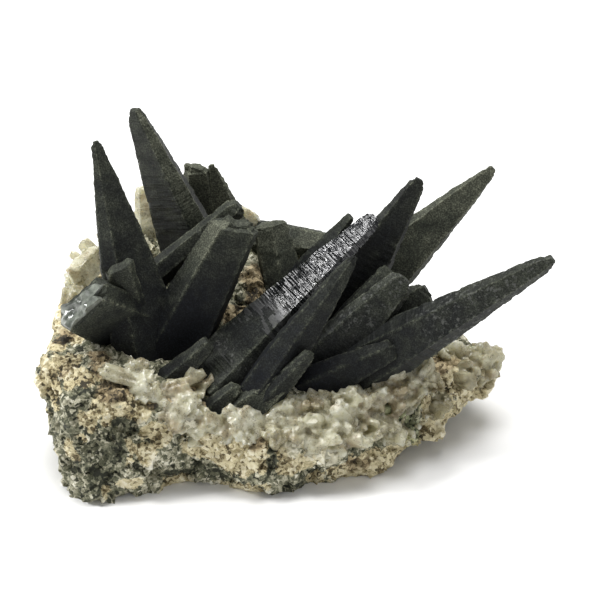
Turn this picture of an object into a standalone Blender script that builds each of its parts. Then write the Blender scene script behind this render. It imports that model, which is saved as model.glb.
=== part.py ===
"""A cluster of chlorite quartz: dark, steeply tapered crystals in two sprays on a slab of speckled gneiss.

The frame is +Z up, with the origin in the middle of the flat underside that the slab rests on, and X runs
along the slab's length. Positions and sizes are in millimetres, and turned into metres where meshes are made.
"""

import math
import random
from dataclasses import dataclass

import bmesh
import bpy
from mathutils import Matrix, Vector, noise
from mathutils.bvhtree import BVHTree

MM = 0.001
GAP = 0.3  # between a crystal and what it grew against
SEAT = 1.0  # how deep in the slab a crystal's whole root section sits, where it can
ROOT_DEPTH = 0.5  # below its stated root point, where a crystal starts that can't sit higher up
RINGS = (0.0, 0.35, 0.65, 0.85, 0.96, 1.0)  # shares of a crystal's length at which it has a ring of corners
END_FROM = 0.9  # share of its length beyond which a slanted end leans
END_RING = 0.55  # the last ring's size beside the end's, which bevels the end

ROCK_VOXEL = 2.0
ROCK_RATIO = 0.42  # share of the rock's triangles that are kept
LUMP_SIZE, LUMP_HEIGHT = 14, 1.6
LEDGE_SIZE, LEDGE_HEIGHT = 6, 1.2
PIT_SIZE, PIT_DEPTH = 4.5, 1.1
STEEPEST = 0.35  # upward part of the skin's direction, below which no pale crystal stands
SUNK_SHARE = 0.4  # of a pale crystal's height that is inside the slab
SEED = 7


@dataclass
class Crystal:
    """One steep quartz crystal: a flattened six-sided spike with a blunt end."""

    root: tuple  # where its axis leaves the rock
    tip: tuple
    width: float  # across its broad faces, at the root
    thick: float  # between its broad faces, at the root
    facing: tuple  # the way one broad face looks
    end: float = 2.0  # width left at the blunt end
    bulge: float = 1.3  # 1 tapers straight, more keeps its width for longer
    slant: float = 0.0  # how far the end face leans, as a slope across the width


# The crystals that grow through each other are one solid. A node stops, with a gap, at those above it.
CRYSTALS = {
    # The left spray stands nearly upright.
    "left_spray": [
        Crystal((-30, -6, 21), (-38.5, 1, 63.5), 16.5, 9, (0.65, -0.75, 0.2), end=1.8),
        Crystal((-34, -5, 26), (-41.3, -13, 36), 15, 6, (0.3, -1, -0.3), end=13.5, slant=0.2),
        Crystal((-33.5, -7.5, 33), (-34.2, -9.5, 42.2), 7, 3, (0, -1, 0.1), end=5.5, slant=0.6),
        Crystal((-25, -5.5, 21), (-12.2, 0, 46), 14, 8, (0.15, -0.95, 0.1), end=9.5, slant=0.2),
    ],
    "leaning_rod": [Crystal((-34, 4, 25.7), (-12, 6.5, 45.7), 6.5, 5, (0.5, -0.8, -0.35), end=4.5)],
    "tall_blade": [Crystal((-18, 12, 20.3), (-32.2, 14.5, 62.6), 17, 9, (-0.55, -0.8, 0.25), end=3.4)],
    "back_pair": [
        Crystal((-20, 24, 26), (-21, 22, 45), 8, 4.5, (0.2, -1, 0.1), end=5, slant=-0.3),
        Crystal((-14.5, 24, 27), (-17.8, 22.5, 45.3), 9, 4, (0.1, -1, 0.1), end=1.2),
    ],
    "stout_crystal": [Crystal((-3, 11, 21.6), (-6, 17, 34.5), 9.5, 7, (0.6, -0.6, 0.5), end=7.5)],
    "back_rod": [Crystal((-9, 25.5, 25.8), (7.5, 22, 26.1), 8, 5, (0.1, -0.6, 0.8), end=5)],
    "low_rod": [Crystal((-25.5, -15, 19.3), (-17.5, -13, 26.7), 6, 4.5, (0.3, -0.9, 0.3), end=3.5)],
    # The right spray fans out low to the right.
    "front_group": [
        Crystal((-6.5, -15, 18.7), (10.3, -8, 43.4), 9.5, 6.5, (0.5, -0.85, 0.1), end=2, bulge=1.5),
        Crystal((-5, -17.5, 18.5), (2, -16.5, 27), 5.5, 3.5, (0.4, -0.9, 0), end=2.5),
        Crystal((-17, -19, 15), (-12, -17.5, 19.7), 5, 4, (0, -1, 0.3), end=3),
        Crystal((-11.5, -18.5, 14), (-4, -17, 20), 8, 5, (0, -1, 0.3), end=5),
    ],
    "shiny_blade": [
        Crystal((-17, -11.5, 18.3), (14.7, 6, 43.3), 13.5, 6.5, (-0.45, -0.5, 0.75), end=4, bulge=1.2),
    ],
    "hidden_blade": [Crystal((1, 8.5, 28.8), (10, 9.5, 41.3), 6, 3.5, (-0.5, -0.5, 0.5))],
    "right_fan": [
        Crystal((7, -8, 14), (47.5, -12, 45.5), 14, 10, (0.1, -0.8, 0.6), end=3, bulge=1.15),
        Crystal((5, -7.5, 14.5), (24.8, -1, 30.7), 11, 6, (0.2, -0.85, 0.5), end=5, bulge=1.6),
        Crystal((2, -9, 15.5), (20.3, -3, 34.8), 12, 6.5, (0.1, -0.8, 0.5), end=5, bulge=1.6),
        Crystal((10, -3.5, 26.8), (17.3, 0, 35), 5, 3, (-0.3, -0.8, 0.5), end=3),
        Crystal((3, -12.8, 16.5), (18.5, -12, 25), 9, 6, (0.3, -0.9, 0.3), end=4.5),
    ],
    "steep_blade": [
        Crystal((4.5, 2.7, 17.5), (23.5, 11.5, 48.7), 14.5, 6.5, (0.1, -0.95, 0.3), end=2.8, bulge=1.25),
    ],
    "long_blade": [Crystal((8, 11, 17), (38.5, 17, 47.8), 14, 5.5, (0.1, -0.9, 0.4), end=2, bulge=1.5)],
    # Pale, nearly clear crystals stand along the back rim.
    "pale_plate": [Crystal((-39.5, 12.5, 20), (-44, 11.3, 30), 13, 5, (-0.9, 0.45, 0), end=9, slant=0.2)],
    "pale_spike": [Crystal((-31.5, 24.5, 29), (-32.5, 26.5, 37.5), 6, 4, (0.3, -0.9, 0.2), end=2.5)],
    "pale_stub": [Crystal((-12, 26, 26), (-10.5, 27.5, 31.3), 7, 4, (0.2, -0.9, 0.2), end=4.5, slant=-0.4)],
}
PALE_NODES = ("pale_plate", "pale_spike", "pale_stub")

# The slab is built from rough blocks, each the hull of its corners. They start below the underside's cut.
BELOW = -3.0
BLOCKS = [
    # The thick left end.
    [
        (-45, -27, BELOW), (-40, -31, BELOW), (-27, -25.5, BELOW), (-16, -23, BELOW),
        (-16, 20, BELOW), (-38, 18, BELOW), (-47, 2, BELOW),
        (-51.5, -15, 25), (-52, -8, 25), (-47, -24, 21), (-36, -25.5, 22), (-18, -23, 14), (-16, -12, 20),
        (-16, 18, 24), (-42, 16, 26), (-50, 2, 25), (-51, -17, 14), (-47.5, -21, 6),
    ],
    # The middle, under the roots of both sprays.
    [
        (-22, -23, BELOW), (-4, -26, BELOW), (9, -23, BELOW), (9, 18, BELOW), (-20, 20, BELOW),
        (-20, -24, 13), (-4, -27.5, 9), (9, -25, 9), (-12, -22.5, 14.5), (0, -20, 16), (9, -17.5, 16.5),
        (-20, -19, 18.5), (-20, 20, 21), (9, 16, 18),
    ],
    # The mound between the sprays.
    [
        (-26, -10, 14), (-22, -4, 21), (-15, 1, 24.5), (-10, 4, 27), (-5, 9, 27), (-6, 14, 25.5),
        (-10, 18, 27), (-20, 18, 26), (-4, 4, 16), (0, 14, 16),
    ],
    # The thin right end, clear of the ground towards its rim.
    [
        (6, -24, BELOW), (12, -22.2, 0), (19, -22.5, 0.5), (22.5, -19.7, 1.5), (31.5, -12.5, 4.5),
        (35, -6, 6), (38.8, -1, 8), (38, 9, 8), (25, 18, 5), (6, 20, BELOW),
        (42, 1, 14), (36, -2, 17), (28, -7, 18.5), (20, -12, 18), (8, -17, 16.5), (8, 15, 17),
        (25, 14, 15), (36, 8, 13),
    ],
    # The raised back rim.
    [
        (-44, 8, 8), (-30, 22, 4), (-8, 25, 5), (8, 24, 7), (-49, 6, 22), (-48, 13, 22), (-42, 21, 22),
        (-48, 4, 25), (-46, 12, 27), (-40, 19, 28), (-33, 28, 33), (-22, 29, 30), (-9, 30, 27),
        (9, 27, 22), (-30, 18, 27), (5, 19, 18),
    ],
]


@dataclass
class Pale:
    """One pale crystal of the druse: a short, thick prism standing on the slab's skin."""

    place: tuple  # in plan
    width: float
    height: float
    lean: tuple = (0, 0, 0)  # added to the skin's own direction
    turn: float = 0.0  # degrees about its own axis


@dataclass
class Druse:
    """A strip of the slab's skin covered in small pale crystals."""

    path: list  # its middle line, in plan
    spread: float  # half its width
    count: int
    sizes: tuple  # smallest and largest crystal, in width


PALES = [
    # Behind the left spray.
    Pale((-45, 5), 4.5, 5, (0.2, 0, 0.8), 60),
    Pale((-37, 18), 6, 6, (0, 0.3, 0.5), 20),
    # In front of the left spray.
    Pale((-34, -18), 4, 9, (-2.2, 0.3, 0), 15),
    Pale((-31, -19.5), 3.5, 5, (1.5, 0, 0.5), 40),
    Pale((-24, -18.5), 3.5, 6, (1.2, 0, 0), 0),
    Pale((-20.5, -15.5), 4.5, 5, (0.3, 0, 0), 30),
    Pale((-22, -21), 4.5, 5, (0.8, -0.3, 0), 70),
    Pale((-15.5, -14.5), 6, 6, (0.2, -0.2, 0.5), 45),
    Pale((-12, -21.5), 4.5, 6, (-0.5, 0, 0), 10),
    # Under the right spray.
    Pale((-2, -19.5), 3, 4, (0.2, 0.3, 1), 0),
    Pale((2, -20.5), 5, 6, (0, 0, 0.4), 25),
    Pale((8, -20), 4.5, 7, (-0.8, 0, 0.5), 65),
    Pale((10, -22), 3.5, 8, (1.5, -0.5, 0), 15),
    Pale((13, -17), 5, 5, (0.1, 0, 0), 35),
    Pale((5, -23), 3, 7, (1.4, -0.4, 0), 0),
    Pale((20, -14), 3.5, 5, (0.2, 0, 0), 50),
    Pale((24, -12.5), 3.5, 5, (-0.4, 0, 0), 10),
    Pale((27, -11), 3, 6, (0.9, 0, 0), 75),
    Pale((33, -6), 5, 5, (0.2, 0, 0), 30),
    Pale((37.5, -1), 5, 5, (0.4, 0, 0.5), 55),
]
DRUSES = [
    Druse([(-33, -17), (-24, -19), (-17, -22), (-4, -23), (8, -20)], 2.0, 24, (2.0, 3.6)),
    Druse([(8, -19), (20, -13.5), (28, -9), (36, -1)], 3.5, 30, (2.2, 4.2)),
    Druse([(-46, 8), (-40, 18), (-31, 25), (-9, 26), (6, 21), (25, 12)], 2.0, 16, (2.5, 4.5)),
]


def vector(point):
    return Vector(point) * MM


def collection(name):
    made = bpy.data.collections.new(name)
    bpy.context.scene.collection.children.link(made)
    return made


def new_object(name, bm, home):
    bmesh.ops.recalc_face_normals(bm, faces=bm.faces)
    mesh = bpy.data.meshes.new(name)
    bm.to_mesh(mesh)
    bm.free()
    obj = bpy.data.objects.new(name, mesh)
    home.objects.link(obj)
    return obj


def hull(points):
    bm = bmesh.new()
    for point in points:
        bm.verts.new(point)
    result = bmesh.ops.convex_hull(bm, input=bm.verts)
    inside = {v for v in result["geom_interior"] if isinstance(v, bmesh.types.BMVert)}
    bmesh.ops.delete(bm, geom=list(inside), context="VERTS")
    bmesh.ops.dissolve_limit(bm, angle_limit=math.radians(0.5), verts=bm.verts, edges=bm.edges)
    bmesh.ops.triangulate(bm, faces=bm.faces)
    return bm


def crystal_axes(c):
    """The crystal's own directions: along its axis, across its width, and out of its broad face."""
    along = (Vector(c.tip) - Vector(c.root)).normalized()
    out = Vector(c.facing)
    out = (out - along * out.dot(along)).normalized()
    return along, along.cross(out), out


def section(width, thick):
    """Corners of a flattened hexagon whose angles all stay 120 degrees."""
    bevel = thick / 2 / math.tan(math.radians(60))
    flat = max(width / 2 - bevel, 0.12 * width)
    return [
        (width / 2, 0), (flat, thick / 2), (-flat, thick / 2),
        (-width / 2, 0), (-flat, -thick / 2), (flat, -thick / 2),
    ]


def ring(c, share, grow):
    """The spike's six corners at this share of its length, grown outwards by so many millimetres."""
    along, across, out = crystal_axes(c)
    length = (Vector(c.tip) - Vector(c.root)).length
    end_share = c.end / c.width
    taper = end_share + (1 - end_share) * (1 - max(share, 0.0) ** c.bulge)
    height = share * length
    if share == RINGS[-1]:
        taper *= END_RING
        height += grow
    points = []
    for side, front in section(c.width * taper + 2 * grow, c.thick * taper + 2 * grow):
        lean = c.slant * side if share > END_FROM else 0
        points.append(MM * (Vector(c.root) + along * (height + lean) + across * side + out * front))
    return points


def buried(slab, point):
    """How far inside the slab a point is, in millimetres, negative where it is outside."""
    spot, normal, _, _ = slab.find_nearest(point)
    return (spot - point).dot(normal) / MM


def start_share(c, slab):
    """Where the spike starts: as high up its axis as its whole section is still seated in the slab."""
    length = (Vector(c.tip) - Vector(c.root)).length
    height = -ROOT_DEPTH
    while all(buried(slab, point) > SEAT for point in ring(c, (height + SEAT) / length, 0)):
        height += SEAT
    return height / length


def crystal_body(c, slab, grow=0.0):
    """The spike as a hull of six-cornered rings, grown outwards by so many millimetres on each side."""
    length = (Vector(c.tip) - Vector(c.root)).length
    start = start_share(c, slab)
    points = ring(c, start - grow / length, grow)
    for share in RINGS:
        if share > start:
            points.extend(ring(c, share, grow))
    return hull(points)


def baked(obj, home):
    """The object with its modifiers applied, as a new object of its name that keeps its largest piece."""
    graph = bpy.context.evaluated_depsgraph_get()
    mesh = bpy.data.meshes.new_from_object(obj.evaluated_get(graph))
    name = obj.name
    bpy.data.objects.remove(obj)
    bm = bmesh.new()
    bm.from_mesh(mesh)
    bpy.data.meshes.remove(mesh)
    drop_islands(bm)
    return new_object(name, bm, home)


def drop_islands(bm):
    """Deletes every loose piece but the largest."""
    left, islands = set(bm.verts), []
    while left:
        island, edge = set(), [left.pop()]
        while edge:
            vert = edge.pop()
            island.add(vert)
            found = {e.other_vert(vert) for e in vert.link_edges} & left
            left -= found
            edge.extend(found)
        islands.append(island)
    islands.sort(key=len)
    for island in islands[:-1]:
        bmesh.ops.delete(bm, geom=list(island), context="VERTS")


def boolean(obj, operation, other):
    """Adds an exact Boolean with an object or with every object of a collection."""
    modifier = obj.modifiers.new(operation.title(), "BOOLEAN")
    modifier.operation = operation
    modifier.solver = "EXACT"
    if isinstance(other, bpy.types.Collection):
        modifier.operand_type = "COLLECTION"
        modifier.collection = other
    else:
        modifier.object = other


def hidden(obj):
    obj.hide_render = True
    obj.display_type = "WIRE"
    return obj


def material(name, colour, roughness):
    made = bpy.data.materials.new(name)
    made.use_nodes = True
    shader = made.node_tree.nodes["Principled BSDF"]
    shader.inputs["Base Color"].default_value = (*colour, 1)
    shader.inputs["Roughness"].default_value = roughness
    return made


def skin_of(obj):
    """The object's own mesh, before any modifier, to test what it meets."""
    return BVHTree.FromPolygons([v.co for v in obj.data.vertices], [p.vertices for p in obj.data.polygons])


def build_node(name, crystals, slab, home):
    """One node: its crystals, each a hull, fused where they overlap."""
    main, *others = [new_object(name, crystal_body(c, slab), home) for c in crystals]
    for other in others:
        boolean(main, "UNION", hidden(other))
    if others:
        main = baked(main, home)
    for other in others:
        bpy.data.objects.remove(other)
    main.name = name
    return main


def build_crystals(home, cutters, slab, dark, pale):
    """Every node of crystals. One that would run into an earlier one stops at it, with a hair's gap."""
    sockets = []
    for name, crystals in CRYSTALS.items():
        obj = build_node(name, crystals, slab, home)
        skin = skin_of(obj)
        hits = [socket for socket in sockets if skin.overlap(skin_of(socket))]
        for socket in hits:
            boolean(obj, "DIFFERENCE", socket)
        if hits:
            obj = baked(obj, home)
        obj.data.materials.append(pale if name in PALE_NODES else dark)
        for number, c in enumerate(crystals):
            sockets.append(hidden(new_object(f"socket_{name}_{number}", crystal_body(c, slab, GAP), cutters)))


def one_skin(rock, home):
    """The rock with a fresh even skin that nowhere folds through itself."""
    remesh = rock.modifiers.new("Skin", "REMESH")
    remesh.mode = "VOXEL"
    remesh.voxel_size = ROCK_VOXEL * MM
    return baked(rock, home)


def rough_blocks(home):
    """The blocks as one mesh, remeshed into one skin."""
    bm = bmesh.new()
    for corners in BLOCKS:
        block = hull([vector(corner) for corner in corners])
        mesh = bpy.data.meshes.new("block")
        block.to_mesh(mesh)
        block.free()
        bm.from_mesh(mesh)
        bpy.data.meshes.remove(mesh)
    return one_skin(new_object("matrix_rock", bm, home), home)


def weather(rock):
    """Lumps, ledges and pits: noise at three sizes pushes the skin in and out."""
    normals = [vert.normal.copy() for vert in rock.data.vertices]
    for vert, normal in zip(rock.data.vertices, normals):
        point = vert.co / MM
        lumps = noise.noise(point / LUMP_SIZE)
        ledges = noise.cell(point / LEDGE_SIZE) - 0.5
        pits = noise.noise(point / PIT_SIZE)
        vert.co += normal * (LUMP_HEIGHT * lumps + LEDGE_HEIGHT * ledges + PIT_DEPTH * pits) * MM


def cut_underside(rock):
    bm = bmesh.new()
    bm.from_mesh(rock.data)
    geometry = bm.verts[:] + bm.edges[:] + bm.faces[:]
    cut = bmesh.ops.bisect_plane(bm, geom=geometry, plane_co=(0, 0, 0), plane_no=(0, 0, -1), clear_outer=True)
    edges = [e for e in cut["geom_cut"] if isinstance(e, bmesh.types.BMEdge)]
    bmesh.ops.holes_fill(bm, edges=edges)
    drop_islands(bm)
    bm.to_mesh(rock.data)
    bm.free()


def along_path(path, share):
    """The point at this share of a plan path's points, and the way the path runs there."""
    place = share * (len(path) - 1)
    step = min(int(place), len(path) - 2)
    start, end = Vector(path[step]), Vector(path[step + 1])
    return start.lerp(end, place - step), (end - start).normalized()


def pale_body(pale, sides, slope, flat):
    """The prism standing on the origin, narrower and sloping at its end."""
    bm = bmesh.new()
    foot, top = 0.5 * pale.width, 0.38 * pale.width
    bmesh.ops.create_cone(bm, cap_ends=True, segments=sides, depth=pale.height, radius1=foot, radius2=top)
    for vert in bm.verts:
        if vert.co.z > 0:
            vert.co.z += slope * vert.co.x
        vert.co.y *= flat
    bmesh.ops.rotate(bm, matrix=Matrix.Rotation(math.radians(pale.turn), 3, "Z"), verts=bm.verts)
    bmesh.ops.scale(bm, vec=(MM, MM, MM), verts=bm.verts)
    return bm


def scattered(dice):
    """The small crystals of every strip."""
    for strip in DRUSES:
        for _ in range(strip.count):
            middle, run = along_path(strip.path, dice.random())
            place = middle + Vector((-run.y, run.x)) * dice.uniform(-1, 1) * strip.spread
            width = dice.uniform(*strip.sizes)
            lean = [dice.uniform(-0.6, 0.6) for _ in range(3)]
            yield Pale(place, width, width * dice.uniform(1.1, 1.8), lean, dice.uniform(0, 90))


def grow_druse(rock, home):
    """Stands every pale crystal on the skin, with part of its height sunk into it."""
    dice = random.Random(SEED)
    skin = skin_of(rock)
    for pale in [*PALES, *scattered(dice)]:
        bm = pale_body(pale, dice.choice((4, 6)), dice.uniform(-0.5, 0.5), dice.uniform(0.6, 0.9))
        spot, normal, _, _ = skin.ray_cast(vector((*pale.place, 60)), Vector((0, 0, -1)))
        if spot is None or normal.z < STEEPEST:  # past the slab's edge or on its side
            continue
        upright = (normal + Vector(pale.lean)).to_track_quat("Z", "Y").to_matrix().to_4x4()
        stand = Matrix.Translation(spot + (0.5 - SUNK_SHARE) * pale.height * MM * normal) @ upright
        bmesh.ops.transform(bm, matrix=stand, verts=bm.verts)
        hidden(new_object("pale_crystal", bm, home))


def build_slab(home, finish):
    rock = rough_blocks(home)
    weather(rock)
    rock = one_skin(rock, home)
    thin = rock.modifiers.new("Thin", "DECIMATE")
    thin.ratio = ROCK_RATIO
    rock = baked(rock, home)
    cut_underside(rock)
    rock.data.materials.append(finish)
    return rock


def main():
    for obj in list(bpy.data.objects):
        bpy.data.objects.remove(obj)
    home = collection("chlorite_quartz_cluster")
    cutters = collection("cutters")
    druse = collection("druse")
    dark = material("chlorite_quartz", (0.035, 0.042, 0.036), 0.45)
    pale = material("pale_quartz", (0.66, 0.66, 0.58), 0.35)
    gneiss = material("gneiss", (0.42, 0.41, 0.34), 0.85)
    rock = build_slab(home, gneiss)
    build_crystals(home, cutters, skin_of(rock), dark, pale)
    grow_druse(rock, druse)
    boolean(rock, "UNION", druse)
    boolean(rock, "DIFFERENCE", cutters)
    baked(rock, home)


main()
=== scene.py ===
"""The looks of the chlorite quartz cluster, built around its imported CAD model.

Lengths are in millimetres, as in the part's own source, and are turned into metres where meshes are made.
The crystals' table, the slab's blocks and the pale crystals' places repeat the part's design values.
"""

import math
import random
from bisect import bisect_right
from dataclasses import dataclass

import bmesh
import bpy
from mathutils import Matrix, Vector, noise
from mathutils.bvhtree import BVHTree
from mathutils.kdtree import KDTree


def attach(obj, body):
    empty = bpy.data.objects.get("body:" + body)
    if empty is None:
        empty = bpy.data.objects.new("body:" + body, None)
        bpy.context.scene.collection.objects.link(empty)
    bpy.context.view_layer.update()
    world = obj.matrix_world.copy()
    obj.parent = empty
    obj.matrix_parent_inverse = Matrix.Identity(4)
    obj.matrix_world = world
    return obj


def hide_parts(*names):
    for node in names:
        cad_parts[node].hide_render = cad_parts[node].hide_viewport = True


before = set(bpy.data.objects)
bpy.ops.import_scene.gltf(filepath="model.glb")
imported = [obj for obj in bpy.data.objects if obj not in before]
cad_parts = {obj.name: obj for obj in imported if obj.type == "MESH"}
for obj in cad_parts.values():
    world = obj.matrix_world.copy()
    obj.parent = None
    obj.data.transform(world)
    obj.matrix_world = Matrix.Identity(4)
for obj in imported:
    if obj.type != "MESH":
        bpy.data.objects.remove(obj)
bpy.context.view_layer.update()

MM = 0.001
ROOT_DEPTH = 3.0  # how far a crystal's root goes on below its stated root point
END_RING = 0.55  # the last ring's size beside the end's, which bevels the end
BEVEL_FROM = 0.96  # share of the length where that bevel starts
LEAN_FROM = 0.85  # share of the length where a slanted end starts to lean
PAINTED_FACE_LIGHT = 0.3  # how much paler a crystal's lit face is painted: painted light
GLOSSY_FROM = 0.4  # gloss above which a crystal has the glossy finish
DULL_TO = 0.34  # share of such a crystal's length, from its root, that is dull all the same
DULL_PATCHES = 0.2  # how far the dull root and the glossy rest run into each other
RING_STEP = 0.22  # between a crystal's rings, along its axis
SIDE_STEP = 0.8  # between samples around a ring
RISER_SHARE = 0.5  # of each step on a face, that is its steeper part
EDGE_WIDTH = 0.7  # of the worn line along a crystal's edges
NICK_WIDTH = 0.9  # how far in from an edge its nicks reach
NICK_DEPTH = 2.2  # of the deepest nicks, on a crystal as ragged as can be
SWELL = 0.12  # how much a face bulges or sinks between its steps
LEAST_FLAT = 0.12  # half width of a broad face, beside the crystal's width, at its least
STEP_SPREAD, STEP_KINDS = (0.35, 1.0), (0.6, 1.0, 2.0)  # how much longer or shorter a step is than usual
GRAIN_APART = 9.0  # between the fine lines of one crystal and the next, in their own space
END_RELIEF = 0.05  # height of a rough end's lumps, beside its width
END_INSETS = (0.9, 0.75, 0.6, 0.45, 0.3, 0.15)  # sizes of the rings that close a crystal's end
CRYSTAL_SEED = 100
CRYSTAL_SHARP, ROCK_SHARP, CRUST_SHARP = 24, 35, 40  # degrees above which an edge looks sharp


@dataclass
class Crystal:
    """One steep quartz crystal: a flattened six-sided spike whose faces step in towards a blunt end."""

    root: tuple
    tip: tuple
    width: float
    thick: float
    facing: tuple
    end: float = 2.0
    bulge: float = 1.3
    slant: float = 0.0
    stride: float = 0.9  # typical length of a step on its faces
    dust: float = 0.3  # how pale its coat of chlorite dust is, halfway up
    fade: float = 0.35  # how much paler that coat is painted at the tip than at the root: more dust towards the tip and painted shade towards the root; below 0, darker at the tip
    painted_lit_face: int = -1  # number of the face painted paler than the rest as painted light, if any
    gloss: float = 0.15  # how shiny and how deeply lined across its faces are
    ragged: float = 0.3  # how deep the nicks in its edges go
    broken: float = 0.0  # 1 where the end is a clean glassy fracture


CRYSTALS = {
    "left_spray": [
        Crystal((-30, -6, 21), (-38.5, 1, 63.5), 16.5, 9, (0.65, -0.75, 0.2), end=1.8, ragged=0.4),
        Crystal((-34, -5, 26), (-41.3, -13, 36), 15, 6, (0.3, -1, -0.3), end=13.5, slant=0.2, broken=1.0),
        Crystal((-33.5, -7.5, 33), (-34.2, -9.5, 42.2), 7, 3, (0, -1, 0.1), end=5.5, slant=0.6, dust=0.35),
        Crystal(
            (-25, -5.5, 21), (-12.2, 0, 46), 14, 8, (0.15, -0.95, 0.1),
            end=9.5, slant=0.2, dust=0.12, fade=0.9, painted_lit_face=2,
        ),
    ],
    "leaning_rod": [
        Crystal((-34, 4, 25.7), (-12, 6.5, 45.7), 6.5, 5, (0.5, -0.8, -0.35), end=4.5, dust=0.35),
    ],
    "tall_blade": [
        Crystal(
            (-18, 12, 20.3), (-32.2, 14.5, 62.6), 17, 9, (-0.55, -0.8, 0.25),
            end=3.4, stride=0.8, painted_lit_face=0, gloss=0.32,
        ),
    ],
    "back_pair": [
        Crystal((-20, 24, 26), (-21, 22, 45), 8, 4.5, (0.2, -1, 0.1), end=5, slant=-0.3, dust=0.6),
        Crystal((-14.5, 24, 27), (-17.8, 22.5, 45.3), 9, 4, (0.1, -1, 0.1), end=1.2, dust=0.75),
    ],
    "stout_crystal": [Crystal((-3, 11, 21.6), (-6, 17, 34.5), 9.5, 7, (0.6, -0.6, 0.5), end=7.5, dust=0.55)],
    "back_rod": [Crystal((-9, 25.5, 25.8), (7.5, 22, 26.1), 8, 5, (0.1, -0.6, 0.8), end=5, dust=0.6)],
    "low_rod": [Crystal((-25.5, -15, 19.3), (-17.5, -13, 26.7), 6, 4.5, (0.3, -0.9, 0.3), end=3.5)],
    "front_group": [
        Crystal(
            (-6.5, -15, 18.7), (10.3, -8, 43.4), 9.5, 6.5, (0.5, -0.85, 0.1),
            end=2, bulge=1.5, dust=0.22,
        ),
        Crystal((-5, -17.5, 18.5), (2, -16.5, 27), 5.5, 3.5, (0.4, -0.9, 0), end=2.5),
        Crystal((-17, -19, 15), (-12, -17.5, 19.7), 5, 4, (0, -1, 0.3), end=3, dust=0.4),
        Crystal((-11.5, -18.5, 14), (-4, -17, 20), 8, 5, (0, -1, 0.3), end=5, dust=0.5),
    ],
    "shiny_blade": [
        Crystal(
            (-17, -11.5, 18.3), (14.7, 6, 43.3), 13.5, 6.5, (-0.45, -0.5, 0.75),
            end=4, bulge=1.2, dust=0.12, fade=-0.5, gloss=1.0,
        ),
    ],
    "hidden_blade": [Crystal((1, 8.5, 28.8), (10, 9.5, 41.3), 6, 3.5, (-0.5, -0.5, 0.5))],
    "right_fan": [
        Crystal((7, -8, 14), (47.5, -12, 45.5), 14, 10, (0.1, -0.8, 0.6), end=3, bulge=1.15, gloss=0.38),
        Crystal((5, -7.5, 14.5), (24.8, -1, 30.7), 11, 6, (0.2, -0.85, 0.5), end=5, bulge=1.6),
        Crystal((2, -9, 15.5), (20.3, -3, 34.8), 12, 6.5, (0.1, -0.8, 0.5), end=5, bulge=1.6, gloss=0.37),
        Crystal((10, -3.5, 26.8), (17.3, 0, 35), 5, 3, (-0.3, -0.8, 0.5), end=3),
        Crystal((3, -12.8, 16.5), (18.5, -12, 25), 9, 6, (0.3, -0.9, 0.3), end=4.5, dust=0.15, gloss=0.05),
    ],
    "steep_blade": [
        Crystal(
            (4.5, 2.7, 17.5), (23.5, 11.5, 48.7), 14.5, 6.5, (0.1, -0.95, 0.3),
            end=2.8, bulge=1.25, dust=0.2, gloss=0.3,
        ),
    ],
    "long_blade": [
        Crystal((8, 11, 17), (38.5, 17, 47.8), 14, 5.5, (0.1, -0.9, 0.4), end=2, bulge=1.5, dust=0.6),
    ],
    "pale_plate": [Crystal((-39.5, 12.5, 20), (-44, 11.3, 30), 13, 5, (-0.9, 0.45, 0), end=9, slant=0.2)],
    "pale_spike": [Crystal((-31.5, 24.5, 29), (-32.5, 26.5, 37.5), 6, 4, (0.3, -0.9, 0.2), end=2.5)],
    "pale_stub": [Crystal((-12, 26, 26), (-10.5, 27.5, 31.3), 7, 4, (0.2, -0.9, 0.2), end=4.5, slant=-0.4)],
}
PALE_NODES = ("pale_plate", "pale_spike", "pale_stub")

BELOW = -3.0
BLOCKS = [
    # The thick left end.
    [
        (-45, -27, BELOW), (-40, -31, BELOW), (-27, -25.5, BELOW), (-16, -23, BELOW), (-16, 20, BELOW),
        (-38, 18, BELOW), (-47, 2, BELOW), (-51.5, -15, 25), (-52, -8, 25), (-47, -24, 21), (-36, -25.5, 22),
        (-18, -23, 14), (-16, -12, 20), (-16, 18, 24), (-42, 16, 26), (-50, 2, 25), (-51, -17, 14),
        (-47.5, -21, 6),
    ],
    # The middle, under the roots of both sprays.
    [
        (-22, -23, BELOW), (-4, -26, BELOW), (9, -23, BELOW), (9, 18, BELOW), (-20, 20, BELOW),
        (-20, -24, 13), (-4, -27.5, 9), (9, -25, 9), (-12, -22.5, 14.5), (0, -20, 16), (9, -17.5, 16.5),
        (-20, -19, 18.5), (-20, 20, 21), (9, 16, 18),
    ],
    # The mound between the sprays.
    [
        (-26, -10, 14), (-22, -4, 21), (-15, 1, 24.5), (-10, 4, 27), (-5, 9, 27), (-6, 14, 25.5),
        (-10, 18, 27), (-20, 18, 26), (-4, 4, 16), (0, 14, 16),
    ],
    # The thin right end, clear of the ground towards its rim.
    [
        (6, -24, BELOW), (12, -22.2, 0), (19, -22.5, 0.5), (22.5, -19.7, 1.5), (31.5, -12.5, 4.5),
        (35, -6, 6), (38.8, -1, 8), (38, 9, 8), (25, 18, 5), (6, 20, BELOW), (42, 1, 14), (36, -2, 17),
        (28, -7, 18.5), (20, -12, 18), (8, -17, 16.5), (8, 15, 17), (25, 14, 15), (36, 8, 13),
    ],
    # The raised back rim.
    [
        (-44, 8, 8), (-30, 22, 4), (-8, 25, 5), (8, 24, 7), (-49, 6, 22), (-48, 13, 22), (-42, 21, 22),
        (-48, 4, 25), (-46, 12, 27), (-40, 19, 28), (-33, 28, 33), (-22, 29, 30), (-9, 30, 27), (9, 27, 22),
        (-30, 18, 27), (5, 19, 18),
    ],
]
ROCK_VOXEL = 2.0
LUMP_SIZE, LUMP_HEIGHT = 14, 1.6
LEDGE_SIZE, LEDGE_HEIGHT = 6, 1.2
PIT_SIZE, PIT_DEPTH = 4.5, 1.1

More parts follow.
